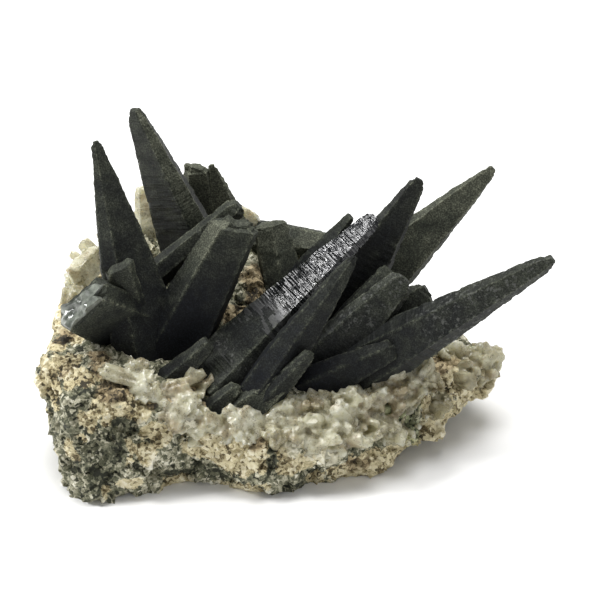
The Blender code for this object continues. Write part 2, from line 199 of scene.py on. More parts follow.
FINER_LEVELS = 2  # how often the slab's skin is made finer
FACETS = ((6.0, 3.2), (2.6, 1.9))  # sizes and tilts of the broken rock's facets
SKIN_INSET = 0.15  # how far the broken skin lies inside the part's, on average
CREAM_CALM = 0.7  # how much smoother than the rest cream patches are
PATCH_SHIFT, PATCH_WAVES = 2.2, 3.5  # how far, and over what distance, the outline of a patch strays
PATCH_CORE, PATCH_FADE = 0.5, 1.4  # shares of its reach where a patch is full, and where it then fades

STEEPEST = 0.35  # upward part of the skin's direction, below which no pale crystal stands
SUNK_SHARE = 0.4  # of a pale crystal's height that is inside the slab
SHOOTS = 5  # smaller crystals that grew out of each pale one
CORE_WIDTH = 0.9  # of the pale crystal itself, beside its stated width
SHOOT_PLACE = 0.38  # how far from its middle they stand, beside its width
PALE_END = 0.38  # radius of its end, beside its width
SHADE_STRIDE = 0.618  # spreads the shades of pale crystals that follow one another
ABOVE_ALL = 60  # height from which the skin under a pale crystal is looked for
SUGAR_SIZES = (0.8, 1.1, 1.5, 2.4)  # widths of the tiny crystals
SUGAR_SHARE = 0.45  # of the skin's points that hold a tiny crystal where the crust is thickest
SUGAR_CLUMP = 4.0  # size of the clumps that those stand in
SUGAR_STEEPEST = -0.1  # as STEEPEST, for the tiny crystals
CRUST_VOXEL = 0.31  # finest detail of the crust that they form
SOFTENING = 1  # how many times that crust is smoothed
SHADES_BLENDED = 4  # how many of the nearest points give the crust its shade
STAINED_SHADE = 0.55  # how much darker that crust is on tan and green rock
SEED = 7


@dataclass
class Pale:
    """One pale crystal of the druse: a short, thick prism standing on the slab's skin."""

    place: tuple
    width: float
    height: float
    lean: tuple
    turn: float


@dataclass
class Druse:
    """A strip of the slab's skin covered in small pale crystals."""

    path: list
    spread: float
    count: int
    sizes: tuple


PALES = [
    # Behind the left spray.
    Pale((-45, 5), 4.5, 5, (0.2, 0, 0.8), 60),
    Pale((-37, 18), 6, 6, (0, 0.3, 0.5), 20),
    # In front of the left spray.
    Pale((-34, -18), 4, 9, (-2.2, 0.3, 0), 15),
    Pale((-31, -19.5), 3.5, 5, (1.5, 0, 0.5), 40),
    Pale((-24, -18.5), 3.5, 6, (1.2, 0, 0), 0),
    Pale((-20.5, -15.5), 4.5, 5, (0.3, 0, 0), 30),
    Pale((-22, -21), 4.5, 5, (0.8, -0.3, 0), 70),
    Pale((-15.5, -14.5), 6, 6, (0.2, -0.2, 0.5), 45),
    Pale((-12, -21.5), 4.5, 6, (-0.5, 0, 0), 10),
    # Under the right spray.
    Pale((-2, -19.5), 3, 4, (0.2, 0.3, 1), 0),
    Pale((2, -20.5), 5, 6, (0, 0, 0.4), 25),
    Pale((8, -20), 4.5, 7, (-0.8, 0, 0.5), 65),
    Pale((10, -22), 3.5, 8, (1.5, -0.5, 0), 15),
    Pale((13, -17), 5, 5, (0.1, 0, 0), 35),
    Pale((5, -23), 3, 7, (1.4, -0.4, 0), 0),
    Pale((20, -14), 3.5, 5, (0.2, 0, 0), 50),
    Pale((24, -12.5), 3.5, 5, (-0.4, 0, 0), 10),
    Pale((27, -11), 3, 6, (0.9, 0, 0), 75),
    Pale((33, -6), 5, 5, (0.2, 0, 0), 30),
    Pale((37.5, -1), 5, 5, (0.4, 0, 0.5), 55),
]
DRUSES = [
    Druse([(-33, -17), (-24, -19), (-17, -22), (-4, -23), (8, -20)], 2.0, 24, (2.0, 3.6)),
    Druse([(8, -19), (20, -13.5), (28, -9), (36, -1)], 3.5, 30, (2.2, 4.2)),
    Druse([(-46, 8), (-40, 18), (-31, 25), (-9, 26), (6, 21), (25, 12)], 2.0, 16, (2.5, 4.5)),
]


# ---- meshes


def vector(point):
    return Vector(point) * MM


def smooth(share):
    """An S-shaped ramp from 0 to 1."""
    share = min(max(share, 0.0), 1.0)
    return share * share * (3 - 2 * share)


def ripple(point, size, height):
    """Noise of this height either way, whose lumps are about this size."""
    return height * noise.noise(point / size)


def new_piece(name, data):
    """Puts a mesh, camera or light into the scene."""
    obj = bpy.data.objects.new(name, data)
    bpy.context.scene.collection.objects.link(obj)
    return obj


def piece_from(name, points, faces):
    """A piece with these points and faces."""
    mesh = bpy.data.meshes.new(name)
    mesh.from_pydata(points, [], faces)
    return new_piece(name, mesh)


def gather(bm, points, faces):
    """Adds a body's points and faces to those gathered so far, and frees it."""
    first = len(points)
    bm.verts.index_update()
    points.extend(vert.co.copy() for vert in bm.verts)
    faces.extend([first + vert.index for vert in face.verts] for face in bm.faces)
    bm.free()


def baked(obj):
    """Applies the object's modifiers to its mesh."""
    graph = bpy.context.evaluated_depsgraph_get()
    mesh = bpy.data.meshes.new_from_object(obj.evaluated_get(graph))
    obj.modifiers.clear()
    obj.data = mesh
    return obj


def voxel_skin(obj, voxel, softening=0):
    """Joins what overlaps under one even skin, and smooths it so many times."""
    remesh = obj.modifiers.new("Skin", "REMESH")
    remesh.mode = "VOXEL"
    remesh.voxel_size = voxel * MM
    soften = obj.modifiers.new("Soften", "SMOOTH")
    soften.iterations = softening
    return baked(obj)


def carry(mesh, name, values):
    """Puts a value on each of the mesh's points, for the materials: a number, or three."""
    kind, field = "FLOAT", "value"
    if isinstance(values[0], tuple):
        kind, field = "FLOAT_VECTOR", "vector"
        values = [number for value in values for number in value]
    mesh.attributes.new(name, kind, "POINT").data.foreach_set(field, values)


def even_shading(mesh, sharp):
    """Shades the mesh smoothly, except at edges sharper than this many degrees."""
    mesh.shade_smooth()
    mesh.set_sharp_from_angle(angle=math.radians(sharp))


def search_tree(points):
    """What finds the points near a place."""
    tree = KDTree(len(points))
    for index, point in enumerate(points):
        tree.insert(point, index)
    tree.balance()
    return tree


class Shell:
    """One mesh: samples of a point with its grain, tone and gloss, faces, and the finish of each face."""

    def __init__(self):
        self.samples, self.faces, self.glossy = [], [], []

    def add(self, *sample):
        self.samples.append(sample)
        return len(self.samples) - 1

    def finish(self, glossy):
        """Gives the faces added since the last call the glossy finish, or the dull one."""
        self.glossy.extend([int(glossy)] * (len(self.faces) - len(self.glossy)))

    def piece(self, name, sharp):
        points, *rest = zip(*self.samples)
        piece = piece_from(name, points, self.faces)
        for attribute, values in zip(("grain", "tone", "gloss"), rest):
            carry(piece.data, attribute, values)
        piece.data.polygons.foreach_set("material_index", self.glossy)
        even_shading(piece.data, sharp)
        return piece


# ---- dark crystals


def crystal_axes(c):
    """The crystal's own directions: along its axis, across its width, and out of its broad face."""
    along = (Vector(c.tip) - Vector(c.root)).normalized()
    out = Vector(c.facing)
    out = (out - along * out.dot(along)).normalized()
    return along, along.cross(out), out


def section(width, thick):
    """Corners of a flattened hexagon whose angles all stay 120 degrees."""
    bevel = thick / 2 / math.tan(math.radians(60))
    flat = max(width / 2 - bevel, LEAST_FLAT * width)
    return [
        (width / 2, 0), (flat, thick / 2), (-flat, thick / 2),
        (-width / 2, 0), (-flat, -thick / 2), (flat, -thick / 2),
    ]


def taper_at(c, share):
    """The crystal's size at a share of its length, beside its size at the root."""
    end_share = c.end / c.width
    taper = end_share + (1 - end_share) * (1 - max(share, 0.0) ** c.bulge)
    bevel = (share - BEVEL_FROM) / (1 - BEVEL_FROM)
    return taper * (1 - (1 - END_RING) * min(max(bevel, 0.0), 1.0))


def staircase(dice, length, stride):
    """Heights at which one face steps in, unevenly spaced from below the root to past the tip."""
    edges = [-ROOT_DEPTH - 2 * stride]
    while edges[-1] < length + 2 * stride:
        edges.append(edges[-1] + stride * dice.uniform(*STEP_SPREAD) * dice.choice(STEP_KINDS))
    return edges


def stepped(edges, height):
    """The height, held back to the last step's until just before the next one."""
    index = min(max(bisect_right(edges, height), 1), len(edges) - 1)
    low, high = edges[index - 1], edges[index]
    riser = RISER_SHARE * (high - low)
    return low + (high - low) * smooth((height - high + riser) / riser)


def ring_samples(c):
    """Face number and share along that face's width, for each sample around a ring."""
    corners = section(c.width, c.thick)
    samples = []
    for face in range(6):
        start, end = Vector(corners[face]), Vector(corners[(face + 1) % 6])
        count = max(2, round((end - start).length / SIDE_STEP))
        samples.extend((face, step / count) for step in range(count))
    return samples


def face_point(c, face, share, height, length):
    """Where a face's sample lies in the ring at this height, across and out."""
    taper = taper_at(c, height / length)
    corners = section(c.width * taper, c.thick * taper)
    return Vector(corners[face]).lerp(Vector(corners[(face + 1) % 6]), share)


def surface(c, stairs, face, share, height, length, offset):
    """Where a sample of the stepped, nicked surface lies, across and out, and how worn it is."""
    flat = face_point(c, face, share, height, length)
    spot = Vector((flat.x, flat.y, height)) + offset
    wave = ripple(spot, 4, 0.5) + ripple(spot, 1.2, 0.35)
    held = stepped(stairs[face], height + wave)
    if share == 0:  # on the edge between two faces
        held = (held + stepped(stairs[face - 1], height + wave)) / 2
    flat = face_point(c, face, share, min(held, length), length)
    to_edge = min(share, 1 - share) * c.width * 0.5
    worn = max(0.0, 1 - to_edge / EDGE_WIDTH)
    nick = max(0.0, noise.noise(spot / 1.6 + Vector((0, 0, 40))) - 0.15) * max(0.0, 1 - to_edge / NICK_WIDTH)
    swell = ripple(spot, 3.5, SWELL)
    flat *= max(0.1, 1 + (swell - NICK_DEPTH * c.ragged * nick) / max(flat.length, 0.5))
    return flat, worn


def grow_crystal(shell, c, number):
    """Adds one crystal: rings of samples whose faces step in, nicked edges and an uneven end."""
    dice = random.Random(CRYSTAL_SEED + number)
    along, across, out = crystal_axes(c)
    root = Vector(c.root)
    length = (Vector(c.tip) - root).length
    stairs = [staircase(dice, length, c.stride) for _ in range(6)]
    samples = ring_samples(c)
    offset = Vector((17.3 * number, 5.1 * number, 0))  # so that no crystal has another's nicks and lumps
    rings = math.ceil((length + ROOT_DEPTH) / RING_STEP)
    first = len(shell.samples)
    for ring in range(rings + 1):
        height = -ROOT_DEPTH + (length + ROOT_DEPTH) * ring / rings
        lean = c.slant * smooth((height / length - LEAN_FROM) / (1 - LEAN_FROM))
        # dust, and painted shade that darkens the coat towards the root
        dust = c.dust + c.fade * (height / length - 0.5)
        gloss = c.gloss * min(max(0.2 + 1.6 * height / length, 0.3), 1.0)
        for face, share in samples:
            flat, worn = surface(c, stairs, face, share, height, length, offset)
            point = root + along * (height + lean * flat.x) + across * flat.x + out * flat.y
            grain = flat.x + 0.4 * flat.y, height, GRAIN_APART * number
            # painted light: the face that the light falls on is painted paler than the rest
            coat = dust + PAINTED_FACE_LIGHT * (face == c.painted_lit_face)
            shell.add(MM * point, grain, (coat, 0.0, worn), gloss)
    count = len(samples)
    for ring in range(rings):
        for step in range(count):
            a, b = first + ring * count + step, first + ring * count + (step + 1) % count
            shell.faces.append((a, a + count, b + count, b))
            across_face, height, _ = shell.samples[a][1]
            patch = noise.noise(Vector((across_face / 3, height / 0.9, number)))
            shell.finish(c.gloss > GLOSSY_FROM and height / length + DULL_PATCHES * patch > DULL_TO)
    close_end(shell, range(first, first + count), -along, 0.0, 0.0)
    shell.finish(False)
    last = first + rings * count
    close_end(shell, range(last + count - 1, last - 1, -1), along, END_RELIEF * c.end, c.broken)
    shell.finish(c.gloss > GLOSSY_FROM or c.broken > 0)


def close_end(shell, ring, way, relief, broken):
    """Closes a ring with smaller rings towards its middle, roughened by so much."""
    points = [shell.samples[index][0] for index in ring]
    _, grain, (coat, _, _), gloss = shell.samples[ring[0]]
    tone = coat, broken, 0.0
    middle = sum(points, Vector()) / len(points)
    for inset in END_INSETS:
        following = []
        for point in points:
            spot = middle.lerp(point, inset)
            bump = relief * MM * (1 + ripple(spot / MM, 2.5, 1.5) + ripple(spot / MM, 0.9, 0.8))
            following.append(shell.add(spot + way * bump, grain, tone, gloss))
        for step in range(len(ring)):
            after = (step + 1) % len(ring)
            shell.faces.append((ring[step], ring[after], following[after], following[step]))
        ring = following
    centre = shell.add(middle + way * relief * MM, grain, tone, gloss)
    for step in range(len(ring)):
        shell.faces.append((ring[step], ring[(step + 1) % len(ring)], centre))


def build_crystals(dull, glossy, pale):
    """One piece for each of the part's nodes that are crystals."""
    number = 0
    for name, crystals in CRYSTALS.items():
        shell = Shell()
        for c in crystals:
            grow_crystal(shell, c, number)
            number += 1
        is_pale = name in PALE_NODES
        piece = shell.piece(f"{name}_faces", CRYSTAL_SHARP)
        for finish in (pale,) if is_pale else (dull, glossy):
            piece.data.materials.append(finish)
        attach(piece, "root")
        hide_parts(name)


# ---- slab


def hull(points):
    """The convex block around these points."""
    bm = bmesh.new()
    for point in points:
        bm.verts.new(point)
    result = bmesh.ops.convex_hull(bm, input=bm.verts)
    inside = {v for v in result["geom_interior"] if isinstance(v, bmesh.types.BMVert)}
    bmesh.ops.delete(bm, geom=list(inside), context="VERTS")
    bmesh.ops.dissolve_limit(bm, angle_limit=math.radians(0.5), verts=bm.verts, edges=bm.edges)
    bmesh.ops.triangulate(bm, faces=bm.faces)
    return bm


def rough_blocks():
    """The slab's blocks, joined under one skin."""
    points, faces = [], []
    for corners in BLOCKS:
        gather(hull([vector(corner) for corner in corners]), points, faces)
    return voxel_skin(piece_from("slab", points, faces), ROCK_VOXEL)


def rework(mesh, change):
    """Makes this change to the mesh."""
    bm = bmesh.new()
    bm.from_mesh(mesh)
    change(bm)
    bm.to_mesh(mesh)
    bm.free()


def largest_only(bm):
    """Drops the crumbs that the skin left apart from the slab."""
    islands, unseen = [], set(bm.verts)
    while unseen:
        island, ahead = [], [unseen.pop()]
        while ahead:
            vert = ahead.pop()
            island.append(vert)
            near = {edge.other_vert(vert) for edge in vert.link_edges} & unseen
            unseen -= near
            ahead.extend(near)
        islands.append(island)
    islands.sort(key=len)
    for crumb in islands[:-1]:
        bmesh.ops.delete(bm, geom=crumb, context="VERTS")


def weathered(point):
    """Height of the lumps, ledges and pits of the part's slab."""
    ledges = LEDGE_HEIGHT * (noise.cell(point / LEDGE_SIZE) - 0.5)
    return ripple(point, LUMP_SIZE, LUMP_HEIGHT) + ledges + ripple(point, PIT_SIZE, PIT_DEPTH)


def raise_points(mesh, heights):
    """Moves each point of the mesh outwards by its height."""
    normals = [vert.normal.copy() for vert in mesh.vertices]
    for vert, normal, height in zip(mesh.vertices, normals, heights):
        vert.co += normal * height * MM


# Where cream feldspar, dark grains, rust, tiny pale crystals, tan rock and green rock show more than
# elsewhere on the slab: a place, and how far around it. Some dark and rust patches just in front of the
# left spray's roots are painted shade beneath those crystals as well as dirt.
CREAMS = [
    (-49, -10, 23, 3), (-45, -15.5, 24, 3), (-42.5, -19.5, 23.5, 2), (-49, -16, 23.5, 1.5),
    (-43.5, -7, 23, 1.5), (-39, -18.5, 24, 1.5), (-36, -24, 21, 2), (-31.5, -23, 19.5, 2.5),
    (-29, -22, 19.5, 1), (-40.5, -25, 17.5, 2), (-44, -25.5, 10.5, 1.5), (-42, -25.5, 13, 1),
    (-32.5, -25, 11, 1.5), (-30, -25.5, 10, 1.5), (-27.5, -23.5, 13.5, 2), (-29, -23, 15, 1),
    (-34, -6.5, 19.5, 3), (-30, -16.5, 24, 1.5), (-26.5, -24, 1, 2), (-10, -25.5, 0.5, 2.5),
    (-18.5, -24.5, 10.5, 3), (-14, -26, 8, 2.5), (-10, -26.5, 8, 2), (-11.5, -25.5, 11, 3),
    (-15, -24.5, 12, 1.5), (-7.5, -26, 10.5, 1.5), (-7.5, -27, 7, 1), (-2, -26, 8, 2), (1, -25.5, 7.5, 2),
    (-3.5, -25.5, 10.5, 1.5), (2.5, -24.5, 10, 2), (9, -22, 3.5, 3), (13.5, -21, 2.5, 3),
    (17.5, -20.5, 2, 2), (21, -17.5, 4, 2), (26, -14.5, 5, 2), (30.5, -9.5, 9, 1.5), (-37, -29, 2.5, 1.5),
    (-33, -28, 4, 1.5), (-47, -22.5, 6.5, 1), (-7, -27.5, 2.5, 1), (4, -22.5, 0.5, 1.5),
    (-24, -23.5, 0.5, 2.5), (-14, -26, 0, 2.5), (-50, -16, 10, 2.5), (-46, 4, 25, 8), (-44.7, 12, 25.5, 7),
    (-35.5, -25, 18, 1.5), (-33, -23.5, 17, 1.5), (-38.5, -24, 19.5, 1.5), (-2, -26.5, 6.5, 1.5),
    (-15, -25.5, 10.5, 1.5), (-50, 0, 14, 6), (-30, 26, 20, 7), (0, 26, 14, 6), (30, 12, 8, 5),
]
DARKS = [
    (-36.5, -25.5, 14.5, 2.5), (-40.5, -26.5, 10, 2.5), (-35, -27, 10, 3), (-43, -25, 15, 2),
    (-42.5, -26.5, 7.5, 1.5), (-38.5, -27.5, 7, 2.5), (-35.5, -27.5, 7, 1.5), (-39, -22.5, 21.5, 2),
    (-42, -21, 22.5, 1.5), (-36, -22.5, 21.5, 1), (-46, -21, 18, 1.5), (-44, -24.5, 18, 1.5),
    (-33, -27, 7, 1.5), (-26.5, -23.5, 3.5, 2), (-24.5, -23.5, 6, 1.5), (-29, -24.5, 12, 1.5),
    (-20.5, -23, 3.5, 2), (-17.5, -23.5, 4, 1.5), (-23, -24, 10.5, 1), (-11.5, -27, 4.5, 1.5),
    (-7.5, -27.5, 4.5, 1.5), (-4, -27, 6.5, 2), (0, -25, 2, 2), (3, -22.5, 3, 2), (6, -22, 3.5, 1.5),
    (-5, -26.5, 10, 1), (9.5, -23.5, 8, 2), (18.5, -15.5, 10, 2.5), (22, -13, 10.5, 2.5),
    (24.5, -13.5, 14.5, 1.5), (20.5, -15.5, 7, 1.5), (16.5, -19, 10, 1.5), (-33.5, -20, 21.5, 3),
    (-27, -23, 18, 2), (-23, -24, 13.5, 1), (-46.5, -7, 23, 1.5), (-7.5, -24, 12.5, 1.5),
    (-40.5, -28.5, 6, 1.5), (-31, -23.5, 14, 1.5), (-42, -29, 3, 2.5), (-48, -10, 10, 4), (-40, 22, 14, 5),
    (-14, 27, 12, 6), (18, 19, 10, 5), (-44.5, -21.5, 21.5, 2), (-41, -23, 21.5, 2), (-48.5, -18, 14.5, 1.5),
    (-45, -24, 12.5, 1.5), (-22, -22, 19, 1.5),
]
STAINS = [
    (-38.5, -14, 24.5, 2), (-36, -5, 19.5, 3), (-31.5, -6.5, 20, 2.5), (-47, -6.5, 23, 2),
    (-39, -17.5, 24, 1.5), (-35.5, -20.5, 22, 3), (-28.5, -19, 24, 1.5), (-20, -17.5, 21.5, 3),
    (-18.5, -20.5, 16.5, 2.5), (-17, -24.5, 17, 2), (-19.5, -19.5, 18.5, 1.5), (-11, -25.5, 14, 2),
    (-7.5, 5.5, 24, 3), (-9, 10.5, 25.5, 3), (-13, 1.5, 22.5, 3), (-7.5, -25, 11.5, 1.5),
    (25.5, -10.5, 19.5, 2.5), (-6, -23.5, 15, 1.5), (-5, -17.5, 15, 1.5), (-28.5, -22.5, 19, 1.5),
    (10, -21.5, 4.5, 1.5), (12.5, -21, 4, 1), (-16, 26, 18, 4), (-29.5, -20, 24, 2), (-33, -20.5, 21.5, 1.5),
    (-24.5, -20.5, 20.5, 2), (-21, -22, 20.5, 2), (-11.5, -15.5, 13.5, 2), (-7.5, -17, 13, 2),
    (9.5, -15.5, 17.5, 1.5), (28, -5, 16.5, 2), (22, -11, 15, 1.5), (-45.5, -18, 23, 1),
]
SUGARS = [
    (-3, -18.5, 16, 3), (0, -19.5, 14.5, 3), (4, -18.5, 15, 3), (6.5, -23, 17, 3), (9.5, -18, 14.5, 3),
    (12.5, -16.5, 14.5, 3), (15.5, -15.5, 15, 2.5), (18.5, -13, 15.5, 2.5), (21.5, -11.5, 17, 2),
    (0, -22, 12, 2.5), (4, -23, 12, 2.5), (8.5, -21, 12, 2.5), (12.5, -18.5, 11, 2.5), (16.5, -16, 11.5, 2),
    (19.5, -14, 12.5, 2), (22.5, -13, 14, 2), (25.5, -10, 14.5, 2), (6, -24.5, 10, 2), (2, -24.5, 9.5, 1.5),
    (17.5, -18.5, 7, 1.5), (-19, -21.5, 16.5, 3), (-22, -22.5, 18.5, 2.5), (-14.5, -23, 16.5, 3),
    (-10.5, -22, 16, 3), (-7.5, -21, 14, 2.5), (-20, -24, 14, 2.5), (-25, -20.5, 19, 2), (-13, -25, 14.5, 2),
    (-28.5, -20.5, 21, 2), (-24, -24, 16.5, 2), (28, -10, 11.5, 1.5), (23.5, -13.5, 9.5, 1.5),
    (-2, -24.5, 11, 1.5), (34, -2, 14, 3), (38, 1, 15, 2.5),
]
TANS = [
    (29, -6.5, 15.5, 3.5), (33, -3.5, 14.5, 3), (36, -3, 12.5, 2.5), (32, -7, 12, 3), (27.5, -10, 13, 2.5),
    (34.5, -8.5, 13, 2.5), (26, -11, 10.5, 2.5), (31, -8.5, 10.5, 2.5), (25, -15, 4.5, 2), (12, -21, 3, 3),
    (17.5, -20, 3, 2), (-49, -17.5, 20, 3), (-47.5, -19, 17.5, 2), (-48, -17, 23, 2), (-20.5, -17.5, 20, 2),
    (29.5, -13, 10.5, 2), (15.5, -21, 1.5, 2.5), (-24, -23.5, 0.5, 2.5), (-12, -26.5, 0, 3), (41, 1, 11, 4),
    (38, -3, 9, 4), (33, -8, 7, 4), (28, -12, 6, 4), (22, -17, 3, 3),
]
GREENS = [
    (37.5, 1.5, 15, 2.5), (39, -2, 16.5, 2), (19.5, -14.5, 10.5, 2.5), (16.5, -16.5, 10.5, 2.5),
    (23.5, -13.5, 13.5, 2), (21.5, -14.5, 6.5, 2),
]


def wander(point):
    """A shift that changes smoothly from place to place, less than 1 each way."""
    return Vector([noise.noise(point + Vector((apart, 0, 0))) for apart in (0, 31.7, 67.3)])


def shown(places, tree, count):
    """How much of these patches each point of the mesh shows, from 0 to 1."""
    shares = [0.0] * count
    for *place, reach in places:
        for _, index, distance in tree.find_range(vector(place), (PATCH_CORE + PATCH_FADE) * reach * MM):
            share = 1 - smooth((distance / MM / reach - PATCH_CORE) / PATCH_FADE)
            shares[index] = max(shares[index], share)
    return shares


def crumble(point, calm):
    """Height of the fine relief of broken rock: tilted facets of many grains, and roughness between them."""
    height = 0.0
    for size, lift in FACETS:
        _, spots = noise.voronoi(point / size)
        tilt = noise.cell_vector(spots[0] * 7) - Vector((0.5, 0.5, 0.5))
        height += lift * (1 - 0.5 * calm) * (point / size - spots[0]).dot(tilt)
    height += (1 - calm) * (ripple(point, 1.3, 0.3) + ripple(point, 0.65, 0.2))
    return height - SKIN_INSET


def cut_underside(bm):
    """Makes the slab flat where it rests."""
    geometry = bm.verts[:] + bm.edges[:] + bm.faces[:]
    down = Vector((0, 0, -1))
    cut = bmesh.ops.bisect_plane(bm, geom=geometry, plane_co=(0, 0, 0), plane_no=down, clear_outer=True)
    edges = [e for e in cut["geom_cut"] if isinstance(e, bmesh.types.BMEdge)]
    filled = bmesh.ops.holes_fill(bm, edges=edges)
    bmesh.ops.triangulate(bm, faces=filled["faces"])


def build_slab(finish):
    """The slab's skin, as in the part, made finer and crumbled.

    Gives the coarse skin that the pale crystals stand on, and how sugary each point of the finer one is.
    """
    rock = rough_blocks()
    raise_points(rock.data, [weathered(vert.co / MM) for vert in rock.data.vertices])
    rock = voxel_skin(rock, ROCK_VOXEL)
    rework(rock.data, largest_only)
    skin = BVHTree.FromPolygons([v.co for v in rock.data.vertices], [p.vertices for p in rock.data.polygons])
    finer = rock.modifiers.new("Finer", "SUBSURF")
    finer.levels = FINER_LEVELS
    rock = baked(rock)
    rock.name = "matrix_rock_skin"
    vertices = rock.data.vertices
    shifts = [PATCH_SHIFT * MM * wander(vert.co / MM / PATCH_WAVES) for vert in vertices]
    tree = search_tree([vert.co + shift for vert, shift in zip(vertices, shifts)])
    creams, darks, stains, sugars, tans, greens = [
        shown(places, tree, len(vertices)) for places in (CREAMS, DARKS, STAINS, SUGARS, TANS, GREENS)
    ]
    sugary = [(vert.co.copy(), vert.normal.copy(), share) for vert, share in zip(vertices, sugars)]
    carry(rock.data, "minerals", list(zip(creams, darks, stains)))
    carry(rock.data, "growth", list(zip(sugars, tans, greens)))
    heights = [crumble(vert.co / MM, CREAM_CALM * cream) for vert, cream in zip(vertices, creams)]
    # painted shade: the relief's hollows painted darker and its rises lighter
    carry(rock.data, "relief", [0.5 + 0.5 * height for height in heights])
    raise_points(rock.data, heights)
    rework(rock.data, cut_underside)
    even_shading(rock.data, ROCK_SHARP)
    rock.data.materials.append(finish)
    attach(rock, "root")
    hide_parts("matrix_rock")
    return skin, sugary


# ---- druse


def along_path(path, share):
    """The point at this share of a plan path's points, and the way the path runs there."""
    place = share * (len(path) - 1)
    step = min(int(place), len(path) - 2)
    start, end = Vector(path[step]), Vector(path[step + 1])
    return start.lerp(end, place - step), (end - start).normalized()


def scattered(dice):
    """The small crystals of every strip."""
    for strip in DRUSES:
        for _ in range(strip.count):
            middle, run = along_path(strip.path, dice.random())
            place = middle + Vector((-run.y, run.x)) * dice.uniform(-1, 1) * strip.spread
            width = dice.uniform(*strip.sizes)
            lean = [dice.uniform(-0.6, 0.6) for _ in range(3)]
            yield Pale(place, width, width * dice.uniform(1.1, 1.8), lean, dice.uniform(0, 90))


def pale_body(pale, sides, slope, flat):
    """A prism around the origin, with a narrower, sloping end, worn edges and a rough surface."""
    bm = bmesh.new()
    bmesh.ops.create_cone(
        bm, cap_ends=True, segments=sides, depth=pale.height,
        radius1=pale.width / 2, radius2=PALE_END * pale.width,
    )
    for vert in bm.verts:
        if vert.co.z > 0:
            vert.co.z += 1.5 * slope * vert.co.x
        vert.co.y *= flat
    bmesh.ops.bevel(bm, geom=bm.edges, offset=0.02 * pale.width, segments=1, affect="EDGES")
    bmesh.ops.subdivide_edges(bm, edges=bm.edges, cuts=2, use_grid_fill=True)
    roof_from, pitch = 0.2 * pale.height, 0.6
    for vert in bm.verts:
        if vert.co.z > roof_from:
            vert.co.z -= pitch * abs(vert.co.x)
    bmesh.ops.rotate(bm, matrix=Matrix.Rotation(math.radians(pale.turn), 3, "Z"), verts=bm.verts)
    for vert in bm.verts:
        spot = vert.co + Vector((pale.place[0], pale.place[1], 0)) * 3
        bump = ripple(spot, 1.6, 0.25) + 0.14 * (noise.cell(spot / 0.8) - 0.5)
        vert.co += vert.co.normalized() * bump
    bmesh.ops.scale(bm, vec=(MM, MM, MM), verts=bm.verts)
    return bm


def foot_shade(height):
    """How light a pale crystal is painted at this share of its height, which goes from -0.5 to 0.5: darker
    towards its feet, with murk and painted shade where the crystals meet.
    """
    return 0.5 + 0.5 * smooth(1.6 * height + 0.35)


def with_shoots(pale, dice):
    """The pale crystal, and the smaller ones that grew out of its sides, nearly parallel to it."""
    yield Pale(pale.place, CORE_WIDTH * pale.width, pale.height, pale.lean, pale.turn)
    for _ in range(SHOOTS):
        turn, share = dice.uniform(0, math.tau), dice.uniform(0.45, 0.75)
        place = Vector(pale.place) + SHOOT_PLACE * pale.width * Vector((math.cos(turn), math.sin(turn)))
        lean = [part + dice.uniform(-0.2, 0.2) for part in pale.lean]
        yield Pale(place, share * pale.width, dice.uniform(0.75, 1.0) * pale.height, lean, pale.turn)


def grow_druse(points, faces, tones, skin):
    """Adds the part's pale crystals, each standing where it stands there."""
    dice, growth = random.Random(SEED), random.Random(SEED + 2)
    for number, largest in enumerate([*PALES, *scattered(dice)]):
        sides, slope, flat = dice.choice((4, 6)), dice.uniform(-0.5, 0.5), dice.uniform(0.6, 0.9)
        tone = 0.4 + 0.45 * (number * SHADE_STRIDE % 1.0)
        for pale in with_shoots(largest, growth):
            bm = pale_body(pale, sides, slope, flat)
            spot, normal, _, _ = skin.ray_cast(vector((*pale.place, ABOVE_ALL)), Vector((0, 0, -1)))
            if spot is None or normal.z < STEEPEST:
                bm.free()
                continue
            # painted shade with murk: each pale crystal darker towards its foot
            tones.extend(tone * foot_shade(vert.co.z / MM / pale.height) for vert in bm.verts)
            upright = (normal + Vector(pale.lean)).to_track_quat("Z", "Y").to_matrix().to_4x4()
            stand = Matrix.Translation(spot + (0.5 - SUNK_SHARE) * pale.height * MM * normal) @ upright
            bmesh.ops.transform(bm, matrix=stand, verts=bm.verts)
            gather(bm, points, faces)


def tiny_crystal(points, faces, spot, upright, size, dice):
    """Adds a small prism with a sloping roof, standing on a spot, and gives its number of points."""
    first = len(points)
    sides = dice.choice((4, 5, 6))
    tall = size * dice.uniform(0.5, 1.3)
    slope = dice.uniform(-0.9, 0.9)
    spin = dice.uniform(0, math.tau)
    squeeze = dice.uniform(0.35, 0.9)
    spun = Matrix.Rotation(spin, 3, "Z")
    foot, shoulder, roof = -0.5 * tall, 0.32 * tall, 0.12 * size
    for level, shrink in ((foot, 1.0), (shoulder, 0.8)):
        for side in range(sides):
            turn = math.tau * side / sides
            x, y = math.cos(turn) * size / 2 * shrink, math.sin(turn) * size / 2 * shrink * squeeze
            top = slope * x if level > 0 else 0.0
            points.append(spot + upright @ (spun @ Vector((x, y, level + top))) * MM)
    points.append(spot + upright @ (spun @ Vector((0, 0, shoulder + roof))) * MM)
    faces.append(tuple(first + side for side in reversed(range(sides))))
    for side in range(sides):
        following = (side + 1) % sides
        low, high = first + side, first + side + sides
        faces.append((low, first + following, first + following + sides, high))
        faces.append((high, first + following + sides, first + 2 * sides))
    return 2 * sides + 1


